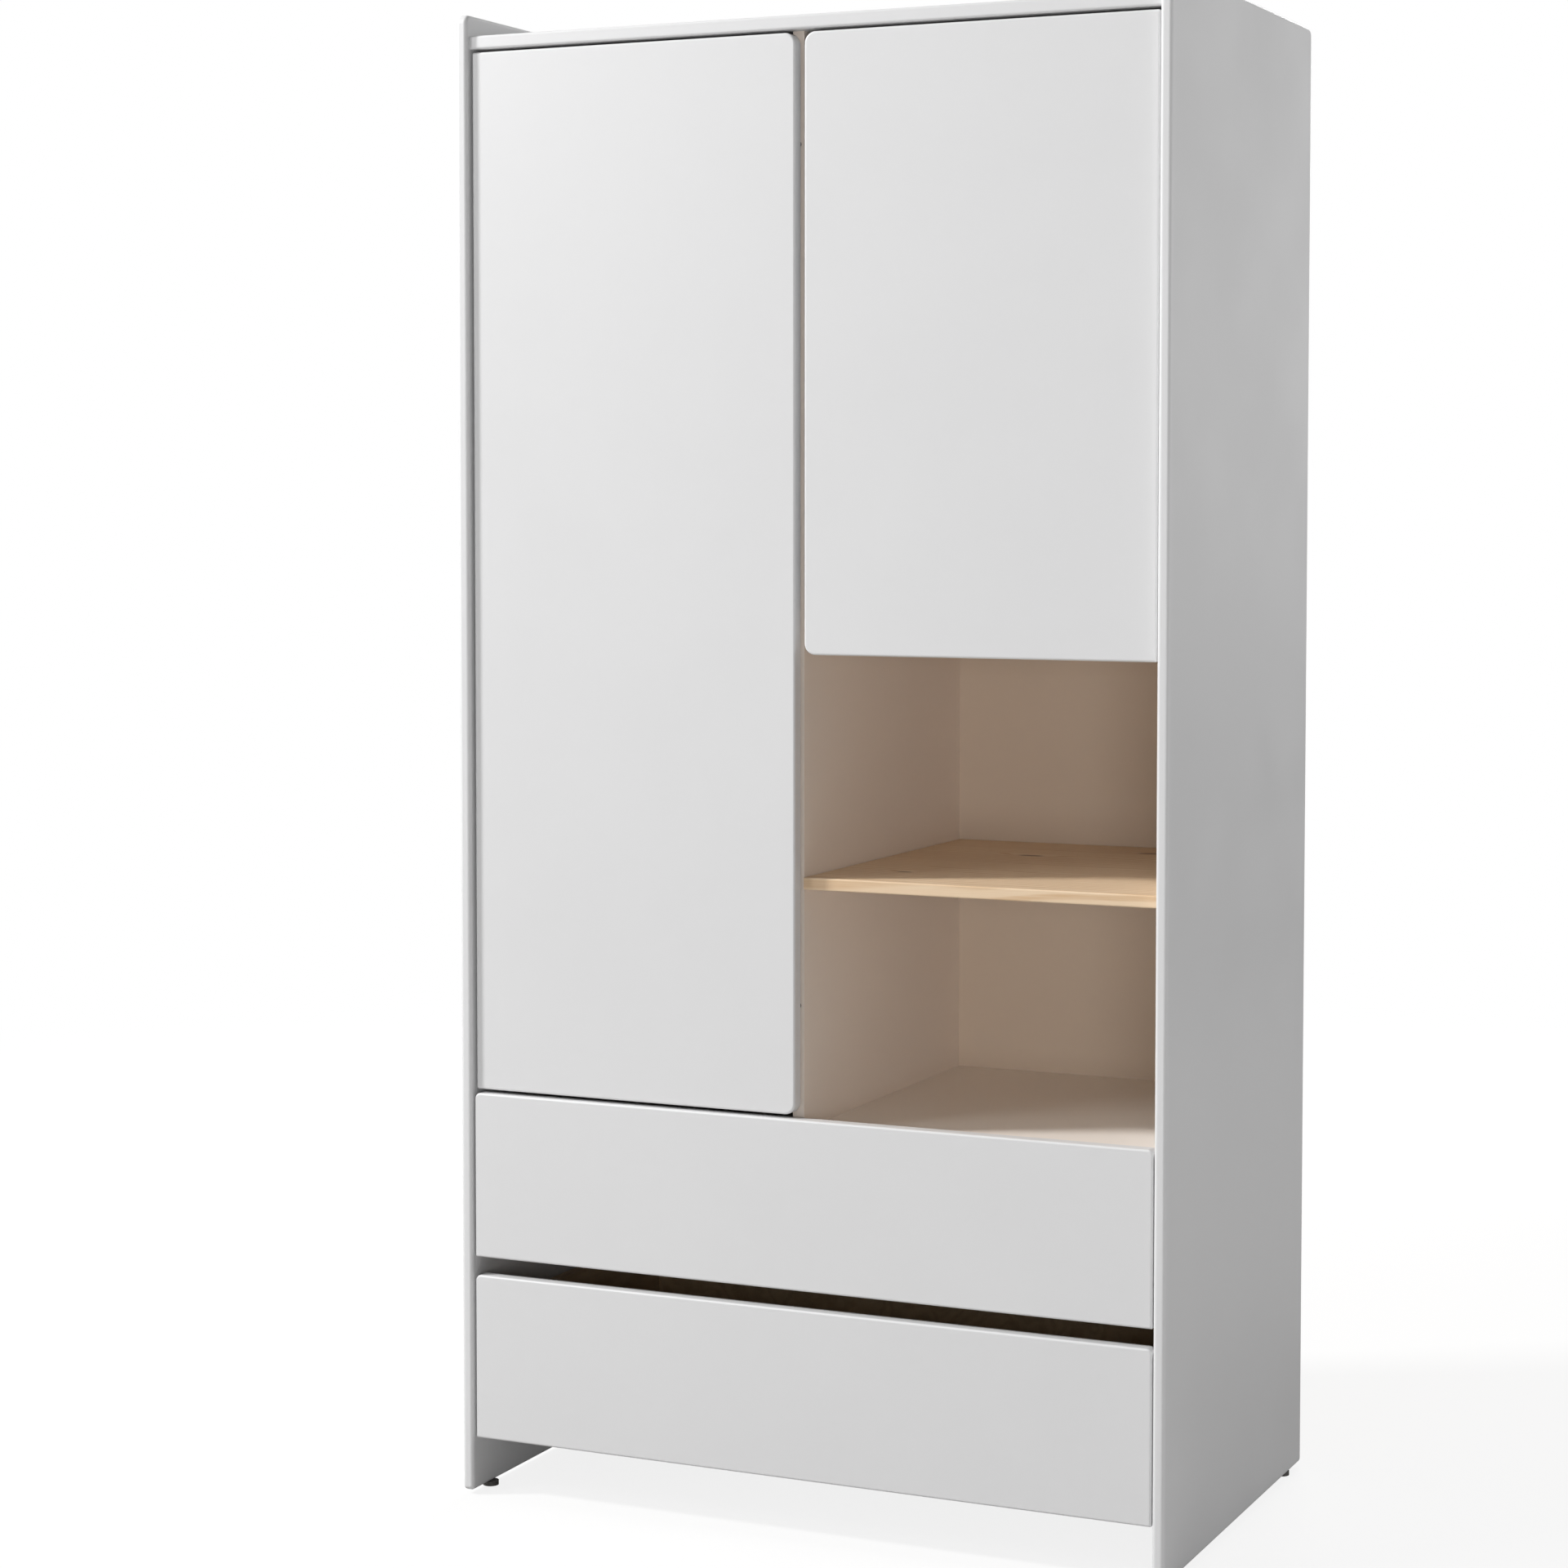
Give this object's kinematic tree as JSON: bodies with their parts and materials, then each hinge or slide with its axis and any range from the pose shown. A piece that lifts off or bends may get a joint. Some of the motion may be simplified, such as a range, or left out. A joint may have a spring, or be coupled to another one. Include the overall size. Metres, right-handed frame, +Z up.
{
  "type": "wardrobe",
  "caption": "Free-standing white wardrobe with a tall door, a short door over an open niche with a pine shelf, and full-width drawers below.",
  "frame": {"origin": "on the floor under the middle of the side panels", "axes": "+X to the right seen from the front, -Y to the front, +Z up"},
  "size_m": [1, 0.61, 2],
  "materials": {
    "white": "satin white lacquer on board",
    "inner": "satin white lacquer on board, inside",
    "backing": "matt white backed fibreboard",
    "pine": "satin clear lacquer over pine",
    "ply": "clear lacquered plywood",
    "tube": "polished",
    "steel": "nickel plated, satin",
    "cams": "zinc alloy, dull",
    "screws": "zinc plated",
    "rails": "zinc plated sheet, satin",
    "soft": "soft plastic, matt"
  },
  "bodies": {
    "carcass": {"side_panel_left": "white", "side_panel_right": "white", "top_panel": "white", "bottom_panel": "white", "plinth_rail": "white", "wall_fixing_rail": "white", "middle_floor_panel": "inner", "divider_panel": "inner", "niche_ceiling_panel": "inner", "hat_shelf": "inner", "cupboard_shelf": "inner", "back_panel_left": "backing", "back_panel_right": "backing", "back_panel_lower": "backing", "niche_shelf": "pine", "clothes_rail": "tube", "clothes_rail_sockets": "tube", "shelf_pins": "steel", "cam_bolts": "steel", "left_hinge_arms": "steel", "left_hinge_plates": "steel", "right_hinge_arms": "steel", "right_hinge_plates": "steel", "wall_brackets": "steel", "cam_locks": "cams", "hinge_plate_screws": "screws", "outer_rail_screws": "screws", "upper_left_outer_rail": "rails", "upper_right_outer_rail": "rails", "lower_left_outer_rail": "rails", "lower_right_outer_rail": "rails", "door_buffers": "soft", "foot_glides": "soft"},
    "left_door": {"left_door_panel": "white", "left_hinge_cups": "steel", "left_hinge_pins": "steel", "left_cup_screws": "screws"},
    "right_door": {"right_door_panel": "white", "right_hinge_cups": "steel", "right_hinge_pins": "steel", "right_cup_screws": "screws"},
    "upper_drawer": {"upper_drawer_front": "white", "upper_drawer_side_left": "ply", "upper_drawer_side_right": "ply", "upper_drawer_back": "ply", "upper_drawer_bottom": "ply", "upper_left_inner_rail": "rails", "upper_right_inner_rail": "rails", "upper_inner_rail_screws": "screws"},
    "upper_runner_middles": {"upper_middle_rails": "rails"},
    "lower_drawer": {"lower_drawer_front": "white", "lower_drawer_side_left": "ply", "lower_drawer_side_right": "ply", "lower_drawer_back": "ply", "lower_drawer_bottom": "ply", "lower_left_inner_rail": "rails", "lower_right_inner_rail": "rails", "lower_inner_rail_screws": "screws"},
    "lower_runner_middles": {"lower_middle_rails": "rails"}
  },
  "joints": [
    {"name": "left_door_hinge", "type": "hinge", "parent": "carcass", "child": "left_door", "pos_m": [-0.463, -0.285, 1.2535], "axis": [0, 0, -1], "range_deg": [0, 105]},
    {"name": "right_door_hinge", "type": "hinge", "parent": "carcass", "child": "right_door", "pos_m": [0.463, -0.285, 1.5525], "axis": [0, 0, 1], "range_deg": [0, 105]},
    {"name": "upper_drawer_slide", "type": "slide", "parent": "carcass", "child": "upper_drawer", "axis": [0, -1, 0], "range_m": [0, 0.44]},
    {"name": "upper_runner_slide", "type": "slide", "parent": "carcass", "child": "upper_runner_middles", "axis": [0, -1, 0], "range_m": [0, 0.22]},
    {"name": "lower_drawer_slide", "type": "slide", "parent": "carcass", "child": "lower_drawer", "axis": [0, -1, 0], "range_m": [0, 0.44]},
    {"name": "lower_runner_slide", "type": "slide", "parent": "carcass", "child": "lower_runner_middles", "axis": [0, -1, 0], "range_m": [0, 0.22]}
  ],
  "couplings": [
    {"joint": "upper_runner_slide", "follows": "upper_drawer_slide", "ratio": 0.5},
    {"joint": "lower_runner_slide", "follows": "lower_drawer_slide", "ratio": 0.5}
  ]
}
